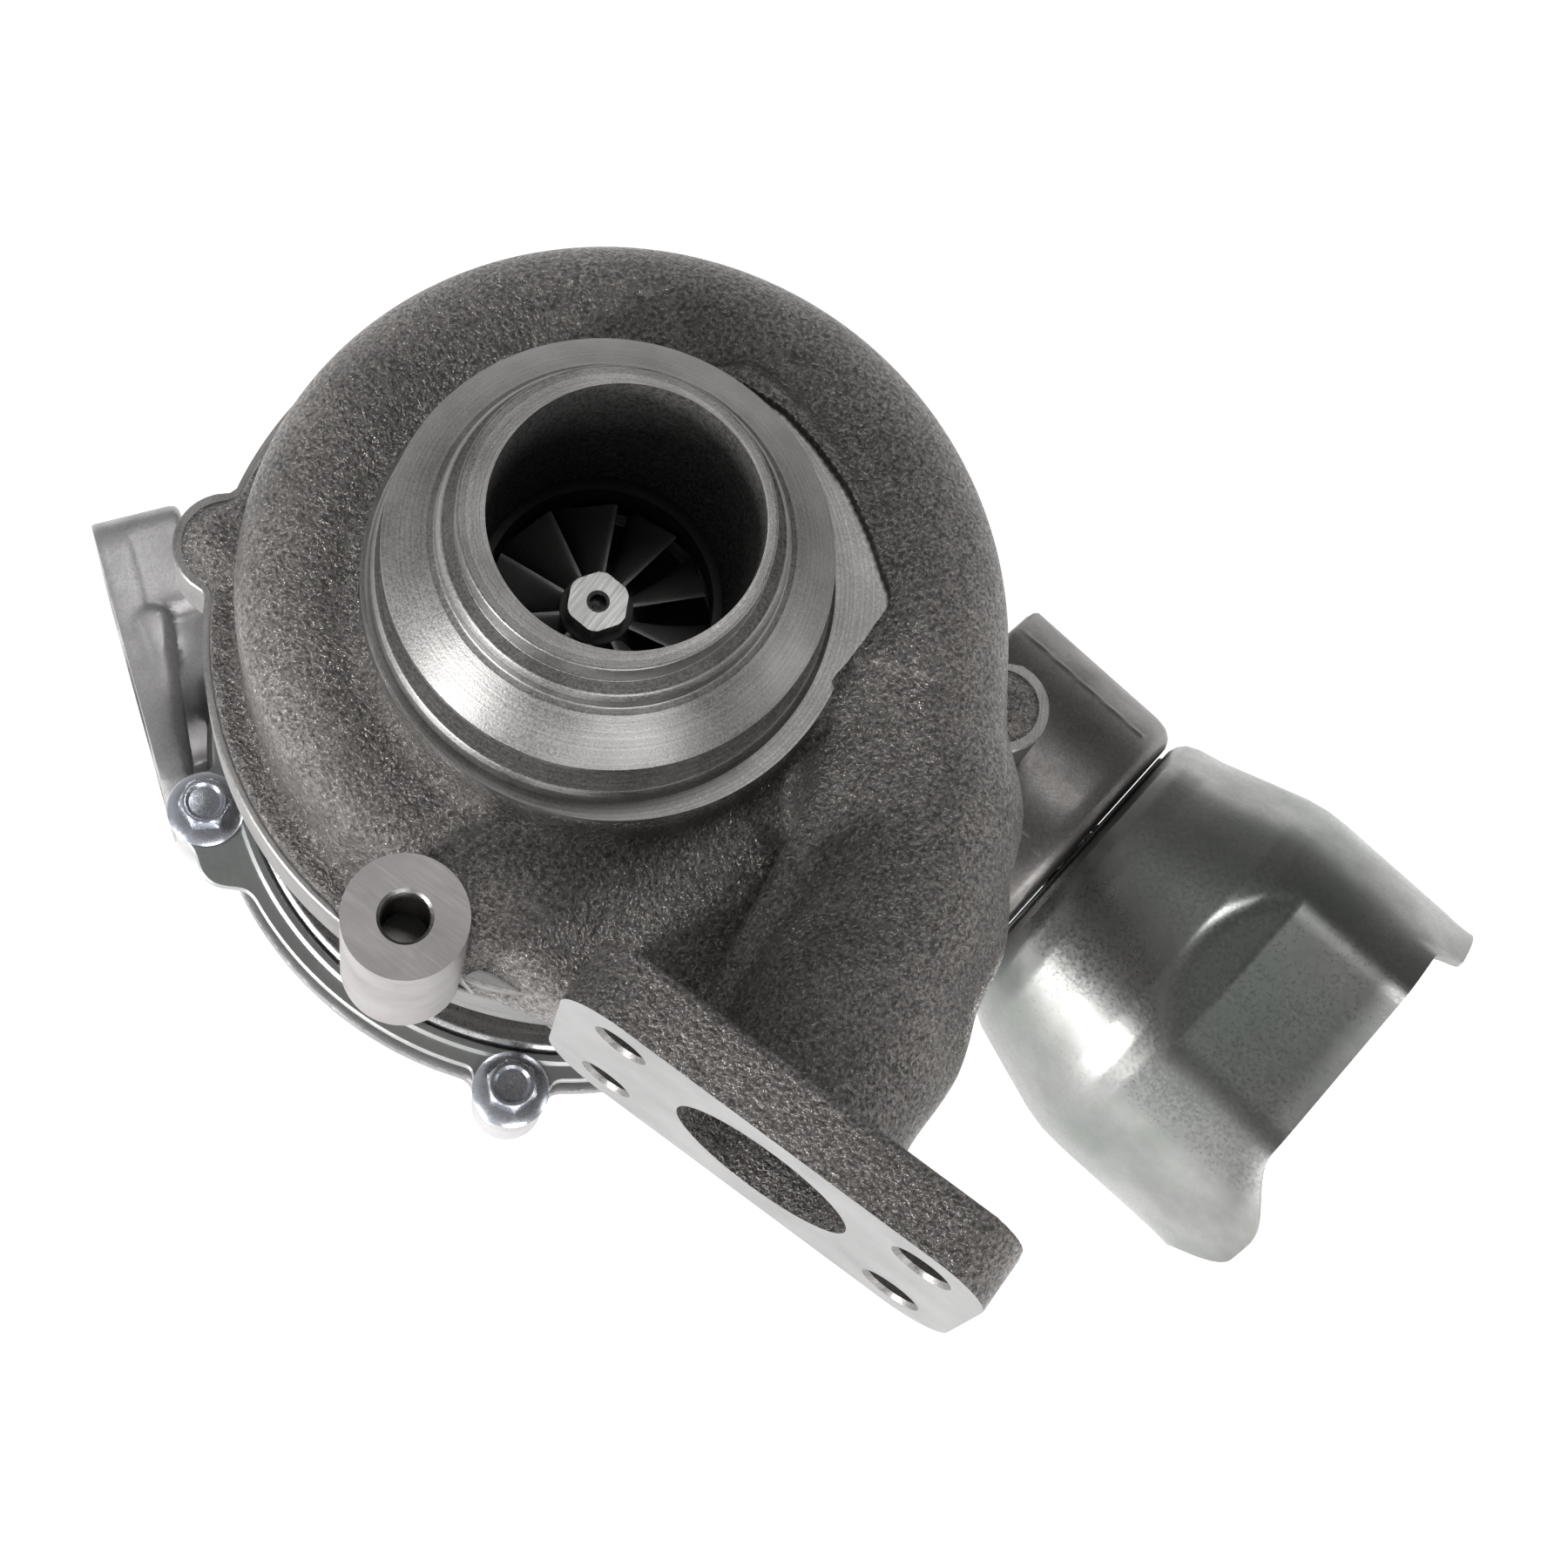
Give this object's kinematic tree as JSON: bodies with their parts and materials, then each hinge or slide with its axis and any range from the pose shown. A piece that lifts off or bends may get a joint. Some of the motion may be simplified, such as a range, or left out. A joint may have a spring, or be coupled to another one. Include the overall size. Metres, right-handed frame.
{
  "type": "turbocharger",
  "caption": "Variable-nozzle turbocharger: cast snail housing with a square inlet flange, stepped outlet spigot, compressor on the far end and an actuator can on a tube at the side.",
  "frame": {"origin": "centre of the bounding box's underside, in the plane of the compressor's inlet rim", "axes": "+Z along the shaft, out of the turbine outlet; +X is the long direction of the turbine's inlet flange, towards the actuator; the flange faces -Y"},
  "size_m": [0.2448, 0.1392, 0.186],
  "materials": {
    "cast_iron": "sand-cast and machined",
    "steel": "machined",
    "zinc_plate": "pressed steel, zinc plated, slightly green",
    "bright_zinc": "bright zinc plated",
    "cast_aluminium": "cast, matte",
    "bronze": "turned bronze",
    "copper": "annealed copper",
    "rubber": "moulded"
  },
  "bodies": {
    "housing": {"turbine_housing": "cast_iron", "nozzle_insert": "steel", "nozzle_ring": "steel", "guide_pin_1": "steel", "guide_pin_2": "steel", "guide_pin_3": "steel", "crank_bush": "bronze", "centre_housing": "cast_iron", "bearing_spacer": "steel", "thrust_bearing": "bronze", "turbine_seal_ring": "steel", "compressor_seal_ring": "steel", "turbine_heat_shield": "steel", "compressor_backplate": "cast_aluminium", "compressor_housing": "cast_aluminium", "clamp_ring": "zinc_plate", "compressor_bolt_1": "bright_zinc", "compressor_bolt_2": "bright_zinc", "compressor_bolt_3": "bright_zinc", "compressor_bolt_4": "bright_zinc", "compressor_bolt_5": "bright_zinc", "compressor_bolt_6": "bright_zinc", "turbine_bolt_1": "bright_zinc", "turbine_bolt_2": "bright_zinc", "turbine_bolt_3": "bright_zinc", "turbine_bolt_4": "bright_zinc", "oil_washer": "copper", "oil_inlet_adapter": "bright_zinc", "actuator_mount": "cast_aluminium", "actuator_base": "zinc_plate", "actuator_cap": "zinc_plate", "actuator_nut_upper": "bright_zinc", "actuator_nut_lower": "bright_zinc", "actuator_spring": "steel", "actuator_heat_shield": "zinc_plate"},
    "rotor": {"turbine_wheel_and_shaft": "steel", "thrust_collar": "steel", "compressor_wheel": "cast_aluminium", "compressor_nut": "steel"},
    "turbine_floating_bearing": {"turbine_bearing": "bronze"},
    "compressor_floating_bearing": {"compressor_bearing": "bronze"},
    "crank": {"crank_shaft": "steel", "crank_lever": "steel", "lever_pin": "steel", "lever_pin_clip": "steel"},
    "rod": {"actuator_rod": "bright_zinc", "rod_end": "bright_zinc", "actuator_diaphragm": "rubber"},
    "unison": {"unison_ring": "steel"},
    "vane_1": {"nozzle_vane_1": "steel"},
    "vane_2": {"nozzle_vane_2": "steel"},
    "vane_3": {"nozzle_vane_3": "steel"},
    "vane_4": {"nozzle_vane_4": "steel"},
    "vane_5": {"nozzle_vane_5": "steel"},
    "vane_6": {"nozzle_vane_6": "steel"},
    "vane_7": {"nozzle_vane_7": "steel"},
    "vane_8": {"nozzle_vane_8": "steel"},
    "vane_9": {"nozzle_vane_9": "steel"}
  },
  "joints": [
    {"name": "rotor_spin", "type": "hinge", "parent": "housing", "child": "rotor", "pos_m": [-0.03121, 0.00107, 0.096], "axis": [0, 0, 1], "continuous": true},
    {"name": "turbine_bearing_spin", "type": "hinge", "parent": "housing", "child": "turbine_floating_bearing", "pos_m": [-0.03121, 0.00107, 0.096], "axis": [0, 0, 1], "continuous": true},
    {"name": "compressor_bearing_spin", "type": "hinge", "parent": "housing", "child": "compressor_floating_bearing", "pos_m": [-0.03121, 0.00107, 0.096], "axis": [0, 0, 1], "continuous": true},
    {"name": "lever_swing", "type": "hinge", "parent": "housing", "child": "crank", "pos_m": [0.00764, 0.02173, 0.089], "axis": [0, 0, -1], "range_deg": [0, 34], "stiffness_Nm_per_rad": 0.01, "springref_deg": -5.73},
    {"name": "rod_slide", "type": "slide", "parent": "housing", "child": "rod", "axis": [0.9945, -0.1045, 0], "range_m": [0, 0.01058], "deforming": ["actuator_spring"]},
    {"name": "unison_turn", "type": "hinge", "parent": "housing", "child": "unison", "pos_m": [-0.03121, 0.00107, 0.1222], "axis": [0, 0, 1], "range_deg": [0, 6.82]},
    {"name": "vane_1_turn", "type": "hinge", "parent": "housing", "child": "vane_1", "pos_m": [-0.01314, 0.02114, 0.136], "axis": [0, 0, 1], "range_deg": [0, 35.45]},
    {"name": "vane_2_turn", "type": "hinge", "parent": "housing", "child": "vane_2", "pos_m": [-0.03027, 0.02805, 0.136], "axis": [0, 0, 1], "range_deg": [0, 35.45]},
    {"name": "vane_3_turn", "type": "hinge", "parent": "housing", "child": "vane_3", "pos_m": [-0.04783, 0.02235, 0.136], "axis": [0, 0, 1], "range_deg": [0, 35.45]},
    {"name": "vane_4_turn", "type": "hinge", "parent": "housing", "child": "vane_4", "pos_m": [-0.05762, 0.00668, 0.136], "axis": [0, 0, 1], "range_deg": [0, 35.45]},
    {"name": "vane_5_turn", "type": "hinge", "parent": "housing", "child": "vane_5", "pos_m": [-0.05505, -0.01161, 0.136], "axis": [0, 0, 1], "range_deg": [0, 35.45]},
    {"name": "vane_6_turn", "type": "hinge", "parent": "housing", "child": "vane_6", "pos_m": [-0.04132, -0.02396, 0.136], "axis": [0, 0, 1], "range_deg": [0, 35.45]},
    {"name": "vane_7_turn", "type": "hinge", "parent": "housing", "child": "vane_7", "pos_m": [-0.02287, -0.02461, 0.136], "axis": [0, 0, 1], "range_deg": [0, 35.45]},
    {"name": "vane_8_turn", "type": "hinge", "parent": "housing", "child": "vane_8", "pos_m": [-0.00831, -0.01324, 0.136], "axis": [0, 0, 1], "range_deg": [0, 35.45]},
    {"name": "vane_9_turn", "type": "hinge", "parent": "housing", "child": "vane_9", "pos_m": [-0.00447, 0.00483, 0.136], "axis": [0, 0, 1], "range_deg": [0, 35.45]}
  ],
  "couplings": [
    {"joint": "turbine_bearing_spin", "follows": "rotor_spin", "ratio": 0.3},
    {"joint": "compressor_bearing_spin", "follows": "rotor_spin", "ratio": 0.3},
    {"joint": "rod_slide", "follows": "lever_swing", "m_per_rad": 0.01783},
    {"joint": "unison_turn", "follows": "lever_swing", "ratio": 0.20043},
    {"joint": "vane_1_turn", "follows": "lever_swing", "ratio": 1.0412},
    {"joint": "vane_2_turn", "follows": "lever_swing", "ratio": 1.0412},
    {"joint": "vane_3_turn", "follows": "lever_swing", "ratio": 1.0412},
    {"joint": "vane_4_turn", "follows": "lever_swing", "ratio": 1.0412},
    {"joint": "vane_5_turn", "follows": "lever_swing", "ratio": 1.0412},
    {"joint": "vane_6_turn", "follows": "lever_swing", "ratio": 1.0412},
    {"joint": "vane_7_turn", "follows": "lever_swing", "ratio": 1.0412},
    {"joint": "vane_8_turn", "follows": "lever_swing", "ratio": 1.0412},
    {"joint": "vane_9_turn", "follows": "lever_swing", "ratio": 1.0412}
  ]
}
